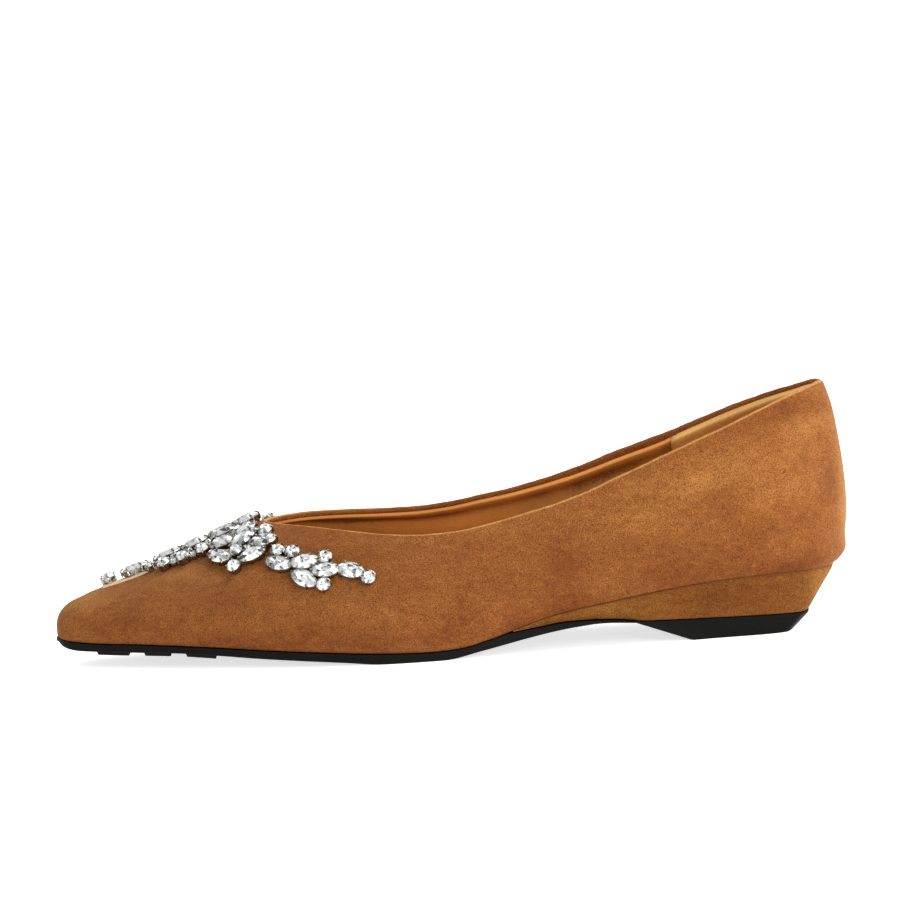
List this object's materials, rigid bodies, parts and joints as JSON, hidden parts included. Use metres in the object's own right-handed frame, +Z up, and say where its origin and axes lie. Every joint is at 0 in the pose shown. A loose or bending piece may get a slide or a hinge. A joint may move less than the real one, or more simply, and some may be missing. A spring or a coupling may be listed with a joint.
{
  "type": "women's pointed-toe suede flat shoe, left foot",
  "caption": "Left pointed suede flat: hollow low-cut upper open at the collar, crystal spray on the vamp, low covered wedge heel, thin rubber sole and heel lift.",
  "frame": {"origin": "on the floor under the middle of the shoe's bounding box", "axes": "+X from the toe to the heel, -Y to the outer side of the left foot, +Z up from the floor"},
  "size_m": [0.2544, 0.0758, 0.0775],
  "materials": {
    "suede": "napped camel suede, matt",
    "wedge_suede": "napped camel suede over a wedge, matt",
    "lining_leather": "smooth tan lining leather, low sheen",
    "sole_rubber": "matt black moulded rubber",
    "lift_rubber": "matt black cut rubber",
    "crystal": "clear cut crystal in a bright silver-coloured claw setting"
  },
  "bodies": {
    "root": {"upper": "suede", "insole": "lining_leather", "wedge_heel": "wedge_suede", "outsole": "sole_rubber", "heel_lift": "lift_rubber", "crystal_ridge_01": "crystal", "crystal_ridge_02": "crystal", "crystal_ridge_03": "crystal", "crystal_ridge_04": "crystal", "crystal_ridge_05": "crystal", "crystal_ridge_06": "crystal", "crystal_outer_01": "crystal", "crystal_outer_02": "crystal", "crystal_outer_03": "crystal", "crystal_outer_04": "crystal", "crystal_outer_05": "crystal", "crystal_outer_06": "crystal", "crystal_outer_07": "crystal", "crystal_outer_08": "crystal", "crystal_outer_09": "crystal", "crystal_outer_10": "crystal", "crystal_outer_11": "crystal", "crystal_outer_12": "crystal", "crystal_outer_13": "crystal", "crystal_outer_14": "crystal", "crystal_outer_15": "crystal", "crystal_outer_16": "crystal", "crystal_outer_17": "crystal", "crystal_outer_18": "crystal", "crystal_outer_19": "crystal", "crystal_outer_20": "crystal", "crystal_outer_21": "crystal", "crystal_outer_22": "crystal", "crystal_outer_23": "crystal", "crystal_inner_01": "crystal", "crystal_inner_02": "crystal", "crystal_inner_03": "crystal", "crystal_inner_04": "crystal", "crystal_inner_05": "crystal", "crystal_inner_06": "crystal", "crystal_inner_07": "crystal", "crystal_inner_08": "crystal", "crystal_inner_09": "crystal", "crystal_inner_10": "crystal", "crystal_inner_11": "crystal", "crystal_inner_12": "crystal", "crystal_inner_13": "crystal", "crystal_inner_14": "crystal", "crystal_inner_15": "crystal", "crystal_inner_16": "crystal", "crystal_inner_17": "crystal", "crystal_inner_18": "crystal", "crystal_inner_19": "crystal", "crystal_inner_20": "crystal", "crystal_inner_21": "crystal", "crystal_inner_22": "crystal", "crystal_inner_23": "crystal"}
  },
  "joints": []
}
